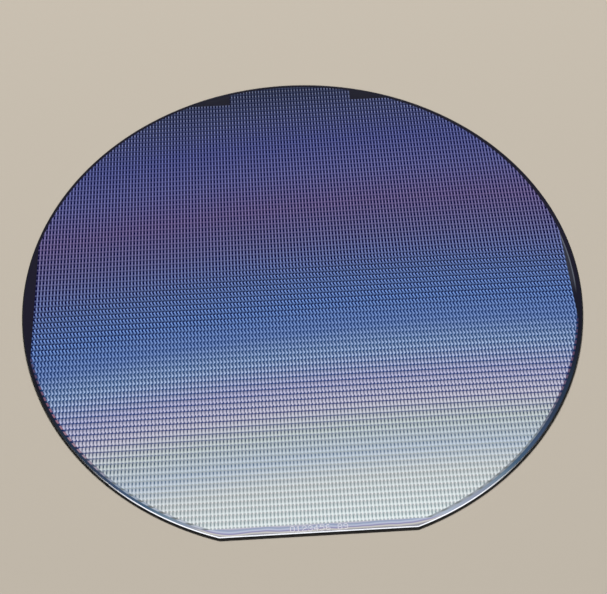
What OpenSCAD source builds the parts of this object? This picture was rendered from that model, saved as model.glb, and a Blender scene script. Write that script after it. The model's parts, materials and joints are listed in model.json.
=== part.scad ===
// A 150 mm silicon wafer with one flat, lying on its back face.
// It is a single solid: a thin disc, cut straight along one side, whose whole
// outline is ground to the same bevelled and rounded edge.
// The origin is on the round edge's axis, on the back face. The front face,
// which carries the printed circuits, looks to +Z, and the flat looks to -Y.

/* [Disc] */
// Diameter across the round edge
disc_d = 150; // [100:1:200]
// Thickness from the back face to the front face
disc_t = 0.625; // [0.5:0.005:0.9]

/* [Primary flat] */
// Length of the straight cut, from one of its corners to the other
flat_l = 47.5; // [20:0.5:60]

/* [Ground edge] */
// Width of the bevel on each face, measured in from the outline
bevel_w = 0.35; // [0.2:0.01:0.42]
// Slope of the bevel against the face, in degrees
bevel_angle = 22; // [11:0.5:27]
// Radius that rounds each bevel into the upright land
nose_r = 0.15; // [0.05:0.01:0.18]

/* [Hidden] */
// Distance from the axis to the flat: half a chord of length flat_l below
flat_y = sqrt(pow(disc_d / 2, 2) - pow(flat_l / 2, 2));
// Height of the upper rounding's centre above the back face. A circle of
// radius nose_r there touches both the bevel and the upright land.
nose_z = disc_t - nose_r / cos(bevel_angle) + (nose_r - bevel_w) * tan(bevel_angle);
// How far past the disc the cutting block reaches, so that only its flat
// side cuts anything away
spare = 5;
// How far inside the rounding each bevel ends, so that the two overlap
tuck = 0.0001;
round_facets = 360;
nose_facets = 48;

// Section through the edge: a plate from x = start to x = reach, disc_t
// thick, with both corners at x = reach bevelled and rounded.
module edge_section(start, reach) {
    bevel_x = reach - bevel_w;
    nose_x = reach - nose_r;
    touch_x = nose_x + (nose_r - tuck) * sin(bevel_angle);
    touch_z = nose_z + (nose_r - tuck) * cos(bevel_angle);
    polygon([
        [start, 0],
        [bevel_x, 0],
        [touch_x, disc_t - touch_z],
        [nose_x, disc_t - nose_z],
        [reach, disc_t - nose_z],
        [reach, nose_z],
        [nose_x, nose_z],
        [touch_x, touch_z],
        [bevel_x, disc_t],
        [start, disc_t]
    ]);
    translate([nose_x, nose_z]) circle(r = nose_r, $fn = nose_facets);
    translate([nose_x, disc_t - nose_z]) circle(r = nose_r, $fn = nose_facets);
}

// The full disc, with the ground edge all round
module round_disc() {
    rotate_extrude($fn = round_facets) edge_section(0, disc_d / 2);
}

// A block wider than the disc, with the same ground edge along its -Y side
module flat_block() {
    rotate([90, 0, -90])
        linear_extrude(height = disc_d + 2 * spare, center = true)
            edge_section(-disc_d / 2 - spare, flat_y);
}

module wafer() {
    color([0.33, 0.38, 0.58]) intersection() {
        round_disc();
        flat_block();
    }
}

wafer();
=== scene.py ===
# %% [markdown]
# # A processed silicon wafer
#
# A wafer is one slice of a silicon crystal, ground, polished and then printed with
# circuits. Every circuit on it is a die, and the dies are printed a block at a time,
# in exposure fields that sit side by side like tiles. This lesson builds the bare
# slice first, then lays the thin coloured films into its front face, and last sets
# up the floor, the lights and the camera.
#
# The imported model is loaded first. It is the frame: its box gives the radius, the
# distance to the flat and the thickness, and every piece below is placed from them.

# %% Load the frame and measure it
import json
import math

import bmesh
import bpy
import numpy as np
from mathutils import Matrix, Vector

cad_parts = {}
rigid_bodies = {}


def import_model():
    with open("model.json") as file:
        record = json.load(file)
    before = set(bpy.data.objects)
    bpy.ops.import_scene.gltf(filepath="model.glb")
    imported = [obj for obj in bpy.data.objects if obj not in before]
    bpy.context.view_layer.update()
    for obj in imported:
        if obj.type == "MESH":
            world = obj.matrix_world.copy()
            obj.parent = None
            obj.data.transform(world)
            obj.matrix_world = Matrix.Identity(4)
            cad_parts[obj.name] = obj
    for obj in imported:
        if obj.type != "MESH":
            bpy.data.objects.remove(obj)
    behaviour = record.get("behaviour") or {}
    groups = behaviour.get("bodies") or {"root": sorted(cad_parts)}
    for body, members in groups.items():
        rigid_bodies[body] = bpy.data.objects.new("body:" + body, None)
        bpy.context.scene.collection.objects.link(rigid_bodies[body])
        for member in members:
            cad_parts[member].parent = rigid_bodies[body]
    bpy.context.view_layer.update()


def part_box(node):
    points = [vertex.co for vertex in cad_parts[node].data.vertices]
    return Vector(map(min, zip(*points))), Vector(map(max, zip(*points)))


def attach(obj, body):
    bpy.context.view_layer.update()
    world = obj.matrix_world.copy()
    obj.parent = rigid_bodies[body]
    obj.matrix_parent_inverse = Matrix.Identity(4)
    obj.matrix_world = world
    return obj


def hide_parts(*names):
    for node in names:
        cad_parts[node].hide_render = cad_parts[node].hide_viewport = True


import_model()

MM = 0.001
lowest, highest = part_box("wafer")
RADIUS = highest.y
FLAT = -lowest.y
THICK = highest.z
print(f"radius {RADIUS / MM:.2f} mm, flat at {FLAT / MM:.2f} mm, {THICK / MM:.3f} mm thick")

# %% [markdown]
# ## From a grid of points to a mesh
#
# Every piece here is a surface worked out with whole arrays: a grid of points, and
# quads between neighbours. Two short functions are enough. One numbers the corners
# of the quads, and the other puts points, faces and a flat map into a mesh. Points
# that fall on each other, as at the middle of a disc, are merged, so no piece has an
# open seam or a pole with a hole.

# %% Grids and meshes
def quads(rows, columns, wrap=False):
    """Corner numbers of the quads of a rows by columns grid of points, turned so that a grid whose
    rows go up and whose columns go right faces the viewer. With wrap the last column joins the first."""
    number = np.arange(rows * columns).reshape(rows, columns)
    left = number if wrap else number[:, :-1]
    right = np.roll(number, -1, axis=1) if wrap else number[:, 1:]
    corners = [left[:-1], right[:-1], right[1:], left[1:]]
    return np.stack(corners, axis=-1).reshape(-1, 4)


def make_piece(name, points, faces, places=None):
    """A mesh object at the origin, riding on the wafer. places, if given, is the place from 0 to 1 of
    each corner of each face on the flat map that the finish can be baked on."""
    mesh = bpy.data.meshes.new(name)
    mesh.from_pydata(points.tolist(), [], faces.tolist())
    if places is not None:
        layer = mesh.uv_layers.new(name="OFBake")
        layer.uv.foreach_set("vector", places.astype(np.float32).ravel())
    piece = bpy.data.objects.new(name, mesh)
    bpy.context.scene.collection.objects.link(piece)
    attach(piece, "root")
    return piece


def merge_doubles(piece, distance=0.0005 * MM):
    """Joins points that lie on each other, which closes poles and pointed ends. Returns how many faces
    are left."""
    shape = bmesh.new()
    shape.from_mesh(piece.data)
    bmesh.ops.remove_doubles(shape, verts=shape.verts, dist=distance)
    bmesh.ops.dissolve_degenerate(shape, edges=shape.edges, dist=distance)
    bmesh.ops.recalc_face_normals(shape, faces=shape.faces)
    shape.to_mesh(piece.data)
    shape.free()
    return len(piece.data.polygons)


print("grid and mesh functions are ready")

# %% [markdown]
# ## The silicon slice
#
# The slice's outline is a circle with one straight side. Its edge isn't square: each
# face is bevelled, and the bevels run into a small upright land through two round
# corners, so that the brittle rim doesn't chip. The same profile goes all the way
# round, so the body is a profile carried along a path. Each point of the profile
# says how far inside the outline it lies, and how high. The films are a few
# thousandths of a millimetre thick on the real wafer. Here they get a shallow
# recess, so that their tops end flush with the bevel.

# %% The edge profile
BEVEL = 0.35 * MM
BEVEL_SLOPE = math.radians(22)
NOSE = 0.15 * MM
FILM_DEPTH = 0.05 * MM
NOSE_STEPS = 7


def edge_profile():
    """Inset from the outline and height of the edge's points, from the back face's rim to the front
    face's rim. The two quarter-like arcs have radius NOSE and touch the bevel and the upright land."""
    turn = np.linspace(0, math.pi / 2 - BEVEL_SLOPE, NOSE_STEPS)
    centre = (NOSE - BEVEL) * math.tan(BEVEL_SLOPE) + THICK - NOSE / math.cos(BEVEL_SLOPE)
    inset = NOSE - NOSE * np.cos(turn)
    height = centre + NOSE * np.sin(turn)
    upper = np.column_stack([inset, height])
    upper = np.vstack([upper, [BEVEL, THICK]])
    lower = upper[::-1] * [1, -1] + [0, THICK]
    return np.vstack([lower, upper])


profile = edge_profile()
land = 2 * profile[len(profile) // 2, 1] - THICK
print(f"edge profile: {len(profile)} points, land {land / MM:.2f} mm high")

# %% The outline and the body
ARC_STEPS = 900
FLAT_STEPS = 60
FACE_RINGS = (0.75, 0.5, 0.25, 0.0)
SHARP_ANGLE = math.radians(15)


def outline(inset):
    """The wafer's outline moved in by inset, counter-clockwise from the flat's right end. The circle's
    radius and the flat's distance both lose inset, and they meet at the angle asin(distance / radius)."""
    radius = RADIUS - inset
    corner = math.asin((FLAT - inset) / radius)
    angle = np.linspace(-corner, math.pi + corner, ARC_STEPS, endpoint=False)
    arc = radius * np.column_stack([np.cos(angle), np.sin(angle)])
    half = radius * math.cos(corner)
    along = np.linspace(-half, half, FLAT_STEPS, endpoint=False)
    side = np.column_stack([along, np.full(FLAT_STEPS, inset - FLAT)])
    return np.vstack([arc, side])


def ring(inset, height, scale=1.0):
    """One closed loop of the body's points: the outline at this inset, shrunk by scale, at this height."""
    loop = outline(inset) * scale
    return np.column_stack([loop, np.full(len(loop), height)])


def silicon_body():
    """The profile carried round the outline, closed by rings that shrink to the middle of each face."""
    back = [ring(BEVEL, 0.0, scale) for scale in FACE_RINGS[::-1]]
    edge = [ring(inset, height) for inset, height in profile]
    front = [ring(BEVEL, THICK - FILM_DEPTH, scale) for scale in (1.0,) + FACE_RINGS]
    rings = np.array(back + edge + front)
    rows, columns = rings.shape[:2]
    return make_piece("silicon_body", rings.reshape(-1, 3), quads(rows, columns, wrap=True))


body = silicon_body()
print("silicon_body:", merge_doubles(body), "faces")
body.data.shade_smooth()
body.data.set_sharp_from_angle(angle=SHARP_ANGLE)
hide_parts("wafer")

# %% [markdown]
# ## The films on the front face
#
# The printer steps over the wafer in a grid of fields, 18 mm by 17 mm, with 20 by 10
# dies in each. Fields that would hang far over the edge aren't printed, so a blank
# sliver is left at the left, at the right, beside the top two fields and along the
# flat. A ring along the rim is cleaned of resist before each exposure, so nothing is
# printed there at all. Each of these areas is its own thin plate. A plate's outline
# is a rectangle clipped by a circle, worked out one column of points at a time.

# %% The grid, and rectangles clipped to the print circle
DIE_X = 0.9 * MM
DIE_Y = 1.708 * MM
DIES_ACROSS = 20
DIES_UP = 10
FIELD_X = DIES_ACROSS * DIE_X
FIELD_Y = DIES_UP * DIE_Y
HALF_GRID = 4
GRID_X = HALF_GRID * FIELD_X
GRID_Y = HALF_GRID * FIELD_Y
GRID_CENTRE = np.array([0.25, -0.48]) * MM
PRINT_CENTRE = np.array([-0.17, 0.0]) * MM
PRINT_RADIUS = 73.9 * MM
COLUMN_STEP = 0.5 * MM


def clipped(x_range, y_range):
    """Bottom and top points of the part of a rectangle inside the print circle. At each x the part
    runs from max(y0, -chord) to min(y1, chord), where chord = sqrt(r^2 - x^2), with x and y measured
    from the circle's centre. The x places are close together where the circle is steep."""
    x0, x1 = np.array(x_range) - PRINT_CENTRE[0]
    y0, y1 = np.array(y_range) - PRINT_CENTRE[1]
    nearest = max(0.0, y0, -y1)
    reach = math.sqrt(PRINT_RADIUS**2 - nearest**2)
    start, end = max(x0, -reach), min(x1, reach)
    turn = np.arcsin(np.clip(np.array([start, end]) / PRINT_RADIUS, -1, 1))
    x = PRINT_RADIUS * np.sin(np.linspace(*turn, max(3, round((end - start) / COLUMN_STEP))))
    kinks = [side * math.sqrt(PRINT_RADIUS**2 - y**2) for y in (y0, y1) for side in (-1, 1)
             if abs(y) < PRINT_RADIUS]
    x = np.unique(np.concatenate([x, [kink for kink in kinks if start < kink < end]]))
    chord = np.sqrt(np.maximum(PRINT_RADIUS**2 - x**2, 0))
    low = np.maximum(y0, -chord)
    high = np.maximum(np.minimum(y1, chord), low)
    return np.column_stack([x, low]) + PRINT_CENTRE, np.column_stack([x, high]) + PRINT_CENTRE


print(f"a field is {FIELD_X / MM:.1f} by {FIELD_Y / MM:.2f} mm and holds {DIES_ACROSS * DIES_UP} dies")

# %% A thin plate between two lines
FILM_TOP = THICK
MAP_BELOW = 0.03
MAP_WALLS = (0.04, 0.06)
MAP_TOP = 0.07


def plate(name, slot, low, high, rows=3, unrolled=False):
    """A closed plate between two edge lines of points, FILM_DEPTH thick, with its top flush with the front
    face. The map holds the top face, seen from above or unrolled along the lines; the underside and the
    walls are tucked into two strips below it."""
    share = np.linspace(0, 1, rows)[:, None, None]
    sheet = low + (high - low) * share
    columns = sheet.shape[1]
    flat = sheet.reshape(-1, 2)
    top = np.column_stack([flat, np.full(len(flat), FILM_TOP)])
    under = top - [0, 0, FILM_DEPTH]
    faces = quads(rows, columns)
    number = np.arange(rows * columns).reshape(rows, columns)
    rim = np.concatenate([number[0], number[1:, -1], number[-1, -2::-1], number[-2:0:-1, 0]])
    after = np.roll(rim, -1)
    size = len(flat)
    walls = np.column_stack([rim + size, after + size, after, rim])
    place = (flat - flat.min(0)) / np.ptp(flat, axis=0)
    if unrolled:
        across, along = np.meshgrid(np.linspace(0, 1, rows), np.linspace(0, 1, columns), indexing="ij")
        place = np.column_stack([along.ravel(), across.ravel()])
    on_top = place * [1, 1 - MAP_TOP] + [0, MAP_TOP]
    below = place * [1, MAP_BELOW]
    step = np.arange(len(rim) + 1) / len(rim)
    wall_low = np.column_stack([step, np.full(len(step), MAP_WALLS[0])])
    wall_high = np.column_stack([step, np.full(len(step), MAP_WALLS[1])])
    on_walls = np.stack([wall_low[:-1], wall_low[1:], wall_high[1:], wall_high[:-1]], axis=1)
    places = np.vstack([on_top[faces], below[faces[:, ::-1]], on_walls])
    piece = make_piece(name, np.vstack([top, under]),
                       np.vstack([faces, faces[:, ::-1] + size, walls]), places)
    merge_doubles(piece)
    return piece


print(f"plates are {FILM_DEPTH / MM:.2f} mm deep")

# %% [markdown]
# The printed area is cut into sheets of two by two fields. That keeps each sheet's
# map small, so a finish baked on it can be sharp enough to show single dies.

# %% The printed sheets
FIELDS_PER_SHEET = 2
SHEETS = 2 * HALF_GRID // FIELDS_PER_SHEET
SHEET_X = FIELDS_PER_SHEET * FIELD_X
SHEET_Y = FIELDS_PER_SHEET * FIELD_Y
left, bottom = GRID_CENTRE - [GRID_X, GRID_Y]
right, top = GRID_CENTRE + [GRID_X, GRID_Y]
printed = []
for row in range(SHEETS):
    for column in range(SHEETS):
        x0 = left + column * SHEET_X
        y0 = bottom + row * SHEET_Y
        printed.append(plate(f"printed_fields_{row + 1}_{column + 1}", "die_film",
                             *clipped((x0, x0 + SHEET_X), (y0, y0 + SHEET_Y))))
middle = (GRID_CENTRE[0] - FIELD_X, GRID_CENTRE[0] + FIELD_X)
printed.append(plate("printed_fields_top", "die_film", *clipped(middle, (top, RADIUS))))
print("printed sheets:", len(printed))

# %% The blank slivers, the strip by the flat and the cleaned ring
FILM_FLAT = FLAT - BEVEL
FILM_RADIUS = RADIUS - BEVEL
RING_STEPS = 720


def cleaned_ring():
    """Inner and outer line of the ring, at equal angles about the print circle's centre, from the flat
    round to the flat. From that centre c the way out in the direction d is -c.d + sqrt(R^2 - c.c +
    (c.d)^2) to the round edge, or less where the flat is nearer."""
    corner = math.asin((FILM_FLAT + PRINT_CENTRE[1]) / PRINT_RADIUS)
    angle = np.linspace(math.pi + corner, -corner, RING_STEPS)
    direction = np.column_stack([np.cos(angle), np.sin(angle)])
    along = direction @ PRINT_CENTRE
    to_round = np.sqrt(FILM_RADIUS**2 - PRINT_CENTRE @ PRINT_CENTRE + along**2) - along
    to_flat = (FILM_FLAT + PRINT_CENTRE[1]) / np.maximum(-direction[:, 1], 1e-6)
    outer = np.maximum(np.minimum(to_round, to_flat), PRINT_RADIUS)
    return direction * PRINT_RADIUS + PRINT_CENTRE, direction * outer[:, None] + PRINT_CENTRE


blank = [
    plate("blank_sliver_left", "blank_film", *clipped((-RADIUS, left), (bottom, top))),
    plate("blank_sliver_right", "blank_film", *clipped((right, RADIUS), (bottom, top))),
    plate("blank_corner_left", "blank_film", *clipped((-RADIUS, middle[0]), (top, RADIUS))),
    plate("blank_corner_right", "blank_film", *clipped((middle[1], RADIUS), (top, RADIUS))),
    plate("flat_strip", "blank_film", *clipped((-RADIUS, RADIUS), (-FILM_FLAT, bottom))),
    plate("cleaned_ring", "blank_film", *cleaned_ring(), unrolled=True),
]
print("blank plates:", [piece.name for piece in blank])

# %% [markdown]
# ## The mark on the strip
#
# Every wafer gets a number near its flat before the first step. A laser melts a row
# of small dots for each digit, and the silicon swells a little at each dot. Plain
# digits stand for it here. Each dot is a low closed dome with eight sides.

# %% A row of dotted digits
DIGITS = {
    "0": "01110 10001 10001 10001 10001 10001 01110", "1": "00100 01100 00100 00100 00100 00100 01110",
    "2": "01110 10001 00001 00110 01000 10000 11111", "3": "01110 10001 00001 00110 00001 10001 01110",
    "4": "00010 00110 01010 10010 11111 00010 00010", "5": "11111 10000 11110 00001 00001 10001 01110",
    "6": "01110 10000 10000 11110 10001 10001 01110", "8": "01110 10001 10001 01110 10001 10001 01110",
    "9": "01110 10001 10001 01111 00001 00001 01110",
}
MARK_TEXT = "0123456 89"
MARK_CENTRE = np.array([0.05, -69.82]) * MM
CHARACTER_PITCH = 1.42 * MM
DOT_PITCH = 0.22 * MM
DOT_RADIUS = 0.15 * MM
DOT_HEIGHT = 0.006 * MM


def dot_places():
    """The middle of every dot: the digits' raised dots, row by row from the top of each digit."""
    places = []
    for index, character in enumerate(MARK_TEXT):
        middle_x = (index - (len(MARK_TEXT) - 1) / 2) * CHARACTER_PITCH
        for row, dots in enumerate(DIGITS.get(character, "").split()):
            places += [[middle_x + (column - 2) * DOT_PITCH, (3 - row) * DOT_PITCH]
                       for column, dot in enumerate(dots) if dot == "1"]
    return np.array(places) + MARK_CENTRE


def mark_dots(places, sides=8):
    """One dome at each place: a ring of points just under the film's top, with a point above its middle
    and one below it."""
    angle = 2 * math.pi * np.arange(sides) / sides
    around = np.column_stack([DOT_RADIUS * np.cos(angle), DOT_RADIUS * np.sin(angle), np.zeros(sides)])
    dot = np.vstack([around, [0, 0, DOT_HEIGHT], [0, 0, -DOT_HEIGHT]]) + [0, 0, FILM_TOP - 0.001 * MM]
    base = np.arange(sides)
    after = np.roll(base, -1)
    above = np.column_stack([base, after, np.full(sides, sides)])
    below = np.column_stack([after, base, np.full(sides, sides + 1)])
    faces = np.vstack([above, below])
    offsets = np.column_stack([places, np.zeros(len(places))])
    points = (dot[None] + offsets[:, None]).reshape(-1, 3)
    steps = len(dot) * np.arange(len(places))
    return make_piece("mark_digits", points, (faces[None] + steps[:, None, None]).reshape(-1, 3))


mark = mark_dots(dot_places())
print("mark_digits:", len(mark.data.polygons), "faces")

# %% [markdown]
# ## Shader maths as expressions
#
# The finishes below are sums of simple patterns. Adding Math nodes one by one hides
# the sum, so a small class wraps a socket and adds the nodes when Python's own
# operators are used on it.

# %% A socket that can do arithmetic
class Wire:
    """A socket of one material's nodes. a + b, 1 - a, a * b and a / b add Math nodes."""

    def __init__(self, tree, socket=None):
        self.tree = tree
        self.socket = socket

    def node(self, kind, settings=None, values=None, output=0):
        """Adds a node of this kind, makes its settings, fills its sockets with numbers or wires, and
        returns one of its outputs. A ramp's stops are a list of (place, colour)."""
        made = self.tree.nodes.new(kind)
        for name, value in (settings or {}).items():
            if name == "stops":
                fill_ramp(made.color_ramp, value)
            else:
                setattr(made, name, value)
        for name, value in (values or {}).items():
            if isinstance(value, Wire):
                self.tree.links.new(value.socket, made.inputs[name])
            else:
                made.inputs[name].default_value = value
        return Wire(self.tree, made.outputs[output])

    def maths(self, operation, *values):
        return self.node("ShaderNodeMath", {"operation": operation}, dict(enumerate(values)))

    def __add__(self, other):
        return self.maths("ADD", self, other)

    def __radd__(self, other):
        return self.maths("ADD", other, self)

    def __sub__(self, other):
        return self.maths("SUBTRACT", self, other)

    def __rsub__(self, other):
        return self.maths("SUBTRACT", other, self)

    def __mul__(self, other):
        return self.maths("MULTIPLY", self, other)

    def __rmul__(self, other):
        return self.maths("MULTIPLY", other, self)

    def __truediv__(self, other):
        return self.maths("DIVIDE", self, other)

    def ramp(self, stops):
        return self.node("ShaderNodeValToRGB", {"stops": stops}, {"Fac": self})

    def rise(self, start, end):
        """0 below start, 1 above end, and an S-shaped rise between them."""
        return self.node("ShaderNodeMapRange", {"interpolation_type": "SMOOTHSTEP"},
                         {"Value": self, "From Min": start, "From Max": end})

    def window(self, start, end, soft):
        """1 between start and end, 0 outside them, with edges that are soft wide."""
        return self.rise(start - soft, start + soft) * (1 - self.rise(end - soft, end + soft))

    def fraction(self):
        return self.maths("FRACT", self)

    def mixed(self, colour, factor):
        """This colour mixed with another by a factor."""
        return self.node("ShaderNodeMix", {"data_type": "RGBA"},
                         {0: factor, 6: self, 7: colour}, output=2)

    def scaled(self, factor):
        """This colour times a number."""
        return self.node("ShaderNodeVectorMath", {"operation": "SCALE"}, {0: self, "Scale": factor})

    def colour(self, value):
        """A plain colour on the same tree."""
        return self.node("ShaderNodeMix", {"data_type": "RGBA"}, {0: 0.0, 6: value, 7: value}, output=2)


def linear(red, green, blue):
    """A display colour of 0 to 255 a channel as Blender's linear colour."""
    share = np.array([red, green, blue]) / 255
    value = np.where(share <= 0.04045, share / 12.92, ((share + 0.055) / 1.055) ** 2.4)
    return (*value.tolist(), 1.0)


def fill_ramp(ramp, stops):
    """Sets a colour ramp's stops."""
    while len(ramp.elements) < len(stops):
        ramp.elements.new(1.0)
    for element, (place, colour) in zip(ramp.elements, stops):
        element.position = place
        element.color = colour


def new_material(name, **constants):
    """A material with a Principled surface. Returns it, a wire to start from and the surface's node."""
    material = bpy.data.materials.new(name)
    material.use_nodes = True
    surface = material.node_tree.nodes["Principled BSDF"]
    for socket, value in constants.items():
        surface.inputs[socket.replace("_", " ")].default_value = value
    return material, Wire(material.node_tree), surface


def connect(wire, surface, socket):
    """Feeds one of the surface's sockets."""
    wire.tree.links.new(wire.socket, surface.inputs[socket])


def wear(pieces, material):
    """Gives one material to several pieces."""
    for piece in pieces:
        piece.data.materials.clear()
        piece.data.materials.append(material)


def coordinates(wire):
    """The x, y and z of the object's own coordinates, in metres."""
    place = wire.node("ShaderNodeTexCoord", output="Object")
    return [place.node("ShaderNodeSeparateXYZ", values={"Vector": place}, output=axis) for axis in "XYZ"]


def noise(wire, scale, detail):
    """Soft noise from 0 to 1 in the object's own coordinates, scale being its blobs per metre."""
    place = wire.node("ShaderNodeTexCoord", output="Object")
    return place.node("ShaderNodeTexNoise", values={"Vector": place, "Scale": scale, "Detail": detail})


print("shader functions are ready")

# %% [markdown]
# ## The colours of the printed film
#
# The circuits are ruled nearly as finely as light, so they send each colour its own
# way. Over the wafer the angle to the light changes slowly, and the colour runs
# through broad bands: slate blue, violet, blue, lilac, and by the flat a pale
# silver. These bands are painted into the films' own colour, fixed to the wafer:
# painted diffraction and reflection colour. The bands are nearly straight and
# slightly tilted, so one number is enough to say where a point lies in them: its
# distance across the bands. Ramps over that number hold the colours of the lit
# cells, of the dark cells and of the streets.

# %% Bands across the wafer
BAND_TILT = 0.08
BAND_BOW = 1.0
BAND_START = -75
BAND_END = 75


def band_distance(x, y):
    """How far a point lies across the bands, in millimetres: y - tilt x + bow x^2, which is 0 in the
    middle, negative near the flat and positive at the far side."""
    return (y - BAND_TILT * x + BAND_BOW * (x * x)) / MM


def bands(*rows):
    """Ramp stops from rows of distance in millimetres, red, green and blue."""
    return [((distance - BAND_START) / (BAND_END - BAND_START), linear(*colour))
            for distance, *colour in sorted(rows)]


# The band colours are painted diffraction and reflection colour, laid into the films' own colour.
LIT = bands((-70, 244, 254, 255), (-58, 224, 231, 234), (-51, 206, 218, 232), (-44, 212, 222, 224),
            (-37, 218, 215, 234), (-30, 196, 196, 230), (-22, 176, 198, 236), (-14, 134, 162, 220),
            (-6, 122, 158, 224), (4, 118, 144, 206), (16, 134, 136, 190), (28, 144, 130, 184),
            (40, 132, 134, 196), (52, 116, 124, 190), (64, 106, 116, 166), (73, 88, 98, 130))
UNLIT = bands((-68, 142, 162, 168), (-58, 142, 154, 158), (-51, 84, 112, 142), (-44, 48, 74, 96),
              (-37, 66, 78, 116), (-30, 86, 96, 138), (-20, 58, 88, 134), (-12, 30, 60, 120),
              (-6, 0, 24, 88), (4, 0, 0, 60), (20, 0, 0, 56), (50, 0, 0, 60), (72, 0, 0, 36))
STREET = bands((-68, 184, 194, 198), (-58, 168, 174, 176), (-50, 176, 188, 196), (-44, 124, 136, 162),
               (-38, 54, 68, 124), (-30, 28, 58, 124), (-20, 24, 68, 120), (-14, 26, 58, 114),
               (-6, 0, 4, 64), (4, 0, 0, 44), (16, 0, 0, 54), (40, 2, 4, 62), (66, 0, 0, 40))
CUT = bands((-62, 200, 208, 222), (-50, 150, 168, 190), (-38, 176, 146, 164), (-26, 160, 112, 134),
            (-14, 96, 80, 110))
print("colour stops:", len(LIT), "lit,", len(UNLIT), "unlit,", len(STREET), "street,", len(CUT), "cut")

# %% [markdown]
# ## One die, repeated
#
# A die is 0.9 mm by 1.7 mm here. A narrow street runs round it for the saw. The left
# of the die is mostly dark and its right is cell array, and near one corner there is
# a bright pad. The pad is metal, and its white is painted glint, laid on only in the
# bands near the flat and at the far side. The fraction of a point's place in its die
# says which part it is in, so one small drawing repeats over the wafer. The two halves
# of the cell array take different painted brightness, diffracted light like the bands:
# towards the far side the upper half is the brighter one, and towards the flat the
# lower half is. In the blue bands the dark column leans a little. Dies that the rim
# cuts off end in short pink dashes near the flat. The underside of a sheet lies on the
# silicon, so it gets one plain colour.

# %% The printed film
UNDERSIDE = linear(60, 60, 72)
DIE_SHIFT = 0.1
LEAN = 0.9
LEAN_MIDDLE = 0.62
CUT_INNER = 73.3
CUT_OUTER = 73.55
CUT_RIGHT_LOSS = 0.6
# How strongly the painted glint shows on the far-side pads.
PAD_GLINT_STRENGTH = 0.12


def on_top(z):
    """1 on a plate's top face and 0 on its underside, which lies on the silicon and shows nowhere."""
    return z.rise(THICK - 0.03 * MM, THICK - 0.01 * MM)


def printed_film():
    """The repeated die drawing, in the colours of the bands, which are painted diffraction and reflection
    colour.
    """
    material, wire, surface = new_material("printed film", Roughness=0.3, Metallic=0.3, IOR=1.2)
    x, y, z = coordinates(wire)
    band = band_distance(x, y)
    place = (band - BAND_START) / (BAND_END - BAND_START)
    u = ((x - left) / DIE_X + DIE_SHIFT).fraction()
    v = ((y - bottom) / DIE_Y - DIE_SHIFT).fraction()
    far = band.rise(-16, -2)
    near = 1 - band.rise(-34, -22)
    silver = 1 - band.rise(-44, -38)
    blue = band.window(-14, 8, 6)
    # Painted diffracted light: one half of the cell array is made brighter and the other darker, swapping
    # over between the far side and the flat.
    half_sheen = far * 0.9 - 0.5 + 0.7 * band.window(-8, 8, 4) - 0.4 * band.window(-34, -18, 4)
    half_sheen = half_sheen + 0.9 * band.rise(44, 66)
    lit = place.ramp(LIT).scaled(1 + half_sheen * (v - 0.5))
    leaning = (u + LEAN * band.window(-24, 8, 6) * (v - LEAN_MIDDLE)).fraction()
    column = leaning.window(0.05 + 0.05 * blue, 0.64 - 0.26 * near, 0.05)
    upper = v.window(0.42, 0.9, 0.05)
    lower = v.window(0.1, 0.42, 0.05)
    colour = lit.mixed(place.ramp(UNLIT), column * (upper + lower * (0.6 - 0.2 * silver)))
    street_column = u.window(0.02, 0.62, 0.05)
    in_street = 1 - v.window(0.12, 0.9, 0.04)
    across_right = 0.3 + 0.45 * band.window(-42, -26, 3) + 0.2 * band.window(-8, 8, 3)
    beside_column = (1 - street_column) * across_right
    colour = colour.mixed(place.ramp(STREET), in_street * (street_column + beside_column))
    spot = u.window(0.35, 0.65, 0.05) * v.window(0.1, 0.32, 0.05) * band.window(-38, -4, 4)
    colour = colour.mixed(place.ramp(STREET), spot)
    between = 1 - u.window(0.04, 0.88, 0.06)
    depth = 0.5 * band.rise(2, 26) + 0.25 * (1 - band.rise(-42, -38)) - 0.1 * (1 - band.rise(-56, -50))
    colour = colour.mixed(place.ramp(UNLIT), between * depth)
    # Painted glint: the pads are metal, and their white is laid on only in the bands near the flat and at
    # the far side.
    pad = u.window(0.58, 0.88, 0.05)
    low_pad_glint = pad * in_street * (1 - band.rise(-60, -50))
    high_pad_glint = pad * v.window(0.6, 0.85, 0.03) * band.rise(50, 62)
    colour = colour.mixed((1, 1, 1, 1), low_pad_glint + high_pad_glint * PAD_GLINT_STRENGTH)
    across = x - PRINT_CENTRE[0]
    from_centre = x.maths("SQRT", across * across + y * y) / MM
    cut = from_centre.rise(CUT_INNER, CUT_OUTER) * (1 - band.rise(-16, 2))
    colour = colour.mixed(place.ramp(STREET).scaled(0.5), cut)
    right_fade = 1 - CUT_RIGHT_LOSS * (x / MM).rise(-10, 10)
    colour = colour.mixed(place.ramp(CUT), cut * v.window(0.15, 0.75, 0.08) * right_fade)
    connect(z.colour(UNDERSIDE).mixed(colour, on_top(z)), surface, "Base Color")
    return material


wear(printed, printed_film())
print("printed film on", len(printed), "sheets")

# %% [markdown]
# ## The blank film and the silicon under it
#
# Where no dies are printed the film is smooth, and it takes one colour from the same
# bands, which is painted reflection colour. Along the flat it thins towards the bevel,
# and each thickness returns another colour, so faint lines run parallel to the edge
# there. The bare silicon only shows at the bevels, which are polished, at the upright
# land, which is dull from grinding, and on the back, which is etched to a soft satin.
# The land is also painted near-black, as painted shade for the dark line along the
# near edge.

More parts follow.
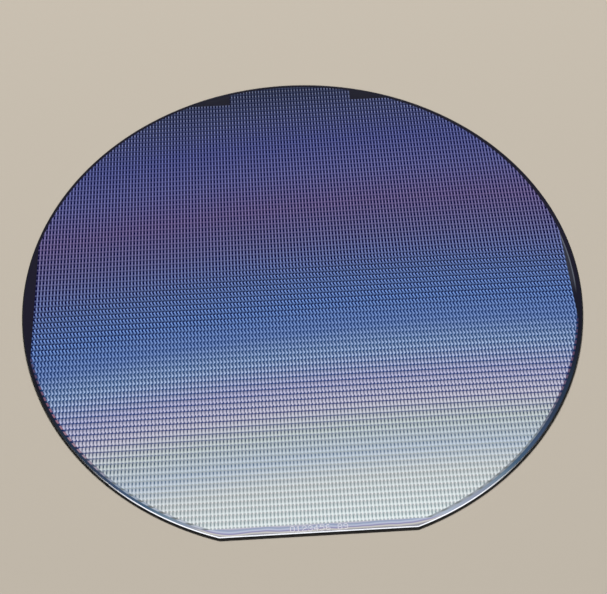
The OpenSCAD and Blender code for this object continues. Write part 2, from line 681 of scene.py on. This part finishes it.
# %% The blank film and the bare silicon
# Painted reflection colour of the blank film, dark at the far side and pale by the flat.
FILM = bands((-72, 176, 190, 206), (-65, 140, 148, 166), (-61, 108, 128, 146), (-57, 66, 90, 114),
             (-51, 60, 78, 106), (-44, 46, 58, 80), (-36, 36, 50, 70), (-28, 30, 36, 50),
             (-18, 24, 24, 36), (10, 30, 28, 42), (72, 32, 32, 42))
LINES_END = 2.4
CORNER_BLEND = 2.5
WAVER_SCALE = 90.0
WAVER_WIDTH = 1.6
LINES = [(distance / LINES_END, linear(*colour)) for distance, *colour in (
    (0.0, 138, 138, 148), (0.35, 202, 200, 192), (0.7, 130, 124, 168), (1.05, 184, 192, 210),
    (1.5, 134, 146, 176), (1.9, 186, 182, 196), (2.3, 120, 142, 158))]


def blank_film():
    """The colour of the bands, which is painted reflection colour, and thin lines along the flat. Their
    distance from the bevel is the smooth minimum of the distances to the circle and to the flat, so they
    turn up at the corners."""
    material, wire, surface = new_material("blank film", Roughness=0.12, Metallic=0.0, IOR=1.5)
    x, y, z = coordinates(wire)
    band = band_distance(x, y)
    place = (band - BAND_START) / (BAND_END - BAND_START)
    radius = x.maths("SQRT", x * x + y * y) / MM
    to_round = FILM_RADIUS / MM - radius
    to_flat = (y + FILM_FLAT) / MM
    waver = noise(wire, WAVER_SCALE, 2.0)
    nearest = to_round.maths("SMOOTH_MIN", to_round, to_flat, CORNER_BLEND)
    inside = nearest + WAVER_WIDTH * (waver - 0.5)
    at_flat = 1 - (y / MM).rise(-69.5, -67.5)
    colour = place.ramp(FILM).mixed((inside / LINES_END).ramp(LINES), at_flat)
    right_side = (x / MM).rise(60, 72) * (y / MM).window(-4, 30, 3)
    streak = radius.window(73.3, 73.6, 0.08) * 0.5 + 0.12 * (1 - radius.rise(73.5, 73.8))
    colour = colour.mixed(linear(110, 116, 128), right_side * streak)
    connect(z.colour(UNDERSIDE).mixed(colour, on_top(z)), surface, "Base Color")
    return material


MARK_ARMS = 48
MARK_BEND = 60
MARK_DEPTH = 0.12
GRAIN_SCALE = 900.0


def bare_silicon():
    """Polished bevels, a dull land between them, left from grinding and painted near-black as painted
    shade for the dark line along the near edge, and a satin back with faint curved marks, which run out
    from the middle at the angle turn + bend * radius."""
    material, wire, surface = new_material("bare silicon", Metallic=1.0)
    x, y, z = coordinates(wire)
    grain = noise(wire, GRAIN_SCALE, 4.0)
    # The land is dull silicon left from grinding; its near-black colour is also painted shade for the dark
    # line along the near edge.
    ground_land_and_shade = z.window(0.10 * MM, 0.52 * MM, 0.03 * MM)
    back = 1 - z.rise(0.005 * MM, 0.02 * MM)
    polished = z.colour(linear(206, 208, 214))
    radius = x.maths("SQRT", x * x + y * y) / RADIUS
    marks = (y.maths("ARCTAN2", y, x) * MARK_ARMS + radius * MARK_BEND).maths("SINE") * MARK_DEPTH
    etched = z.colour(linear(126, 129, 134)).scaled(0.8 + 0.4 * grain + marks)
    colour = polished.mixed(linear(12, 12, 13), ground_land_and_shade).mixed(etched, back)
    connect(colour, surface, "Base Color")
    connect(0.18 + 0.35 * ground_land_and_shade + back * (0.22 + 0.12 * grain), surface, "Roughness")
    return material


wear(blank, blank_film())
mark_material, _, mark_surface = new_material("melted dots", Roughness=0.3, Metallic=0.3)
mark_surface.inputs["Base Color"].default_value = linear(238, 236, 244)
wear([mark], mark_material)
wear([body], bare_silicon())
print("finishes:", sorted(material.name for material in bpy.data.materials))

# %% [markdown]
# ## Floor, light and camera
#
# The floor lies a hair below the back face. One light stands behind and lights the
# floor and the films, but isn't mirrored in them. The other hangs over the near side
# and is only seen mirrored. The near bevel tilts towards it, which draws the bright
# line along the flat and the near rim.

# %% The floor
FLOOR_SIZE = 4.0
FLOOR_GAP = 0.02 * MM
FLOOR_COLOUR = (0.47, 0.42, 0.35, 1)
floor_points = FLOOR_SIZE * np.array([[-1, -1, 0], [1, -1, 0], [1, 1, 0], [-1, 1, 0]]) - [0, 0, FLOOR_GAP]
floor_mesh = bpy.data.meshes.new("floor")
floor_mesh.from_pydata(floor_points.tolist(), [], [[0, 1, 2, 3]])
floor = bpy.data.objects.new("floor", floor_mesh)
bpy.context.scene.collection.objects.link(floor)
floor_material, floor_wire, floor_surface = new_material("pale floor", Roughness=0.7)
floor_surface.inputs["Base Color"].default_value = FLOOR_COLOUR
wear([floor], floor_material)
print(f"floor: {2 * FLOOR_SIZE:.0f} m square")

# %% Soft studio light
BACK_RADIANCE = 84
FRONT_RADIANCE = 1.9
WORLD_STRENGTH = 0.03


def softbox(name, place, aim, size, radiance):
    """A rectangular light. Its power is pi times its area times the brightness that its face shows."""
    lamp = bpy.data.lights.new(name, "AREA")
    lamp.shape = "RECTANGLE"
    lamp.size, lamp.size_y = size
    lamp.energy = math.pi * size[0] * size[1] * radiance
    holder = bpy.data.objects.new(name, lamp)
    facing = (Vector(aim) - Vector(place)).to_track_quat("-Z", "Y")
    holder.matrix_world = Matrix.Translation(place) @ facing.to_matrix().to_4x4()
    bpy.context.scene.collection.objects.link(holder)
    return holder


back_light = softbox("back_light", (0, 2.25, 2.2), (0, 0, 0), (1.6, 0.4), BACK_RADIANCE)
back_light.visible_glossy = False
front_light = softbox("front_light", (0, -0.28, 0.9), (0, -0.28, 0), (1.45, 0.5), FRONT_RADIANCE)
front_light.visible_diffuse = False
world = bpy.data.worlds.new("studio")
world.use_nodes = True
world.node_tree.nodes["Background"].inputs["Color"].default_value = (0.9, 0.95, 1.0, 1)
world.node_tree.nodes["Background"].inputs["Strength"].default_value = WORLD_STRENGTH
bpy.context.scene.world = world
bpy.context.scene.view_settings.view_transform = "Standard"
print("lights:", back_light.name, front_light.name)

# %% The camera
AIM = Vector((0.186, -3.002, THICK / MM)) * MM
DISTANCE = 341.65 * MM
ELEVATION = math.radians(55.476)
AZIMUTH = math.radians(-2.583)
ROLL = math.radians(-0.887)
LENS = 75.64
SENSOR_WIDTH = 36
NEAREST_SEEN = 0.01

away = Vector((math.sin(AZIMUTH) * math.cos(ELEVATION), -math.cos(AZIMUTH) * math.cos(ELEVATION),
               math.sin(ELEVATION)))
camera_data = bpy.data.cameras.new("camera")
camera_data.lens = LENS
camera_data.sensor_width = SENSOR_WIDTH
camera_data.clip_start = NEAREST_SEEN
camera = bpy.data.objects.new("camera", camera_data)
turn = (-away).to_track_quat("-Z", "Y").to_matrix().to_4x4()
camera.matrix_world = Matrix.Translation(AIM + away * DISTANCE) @ turn @ Matrix.Rotation(ROLL, 4, "Z")
bpy.context.scene.collection.objects.link(camera)
bpy.context.scene.camera = camera
print("camera at", [round(value / MM, 1) for value in camera.location])
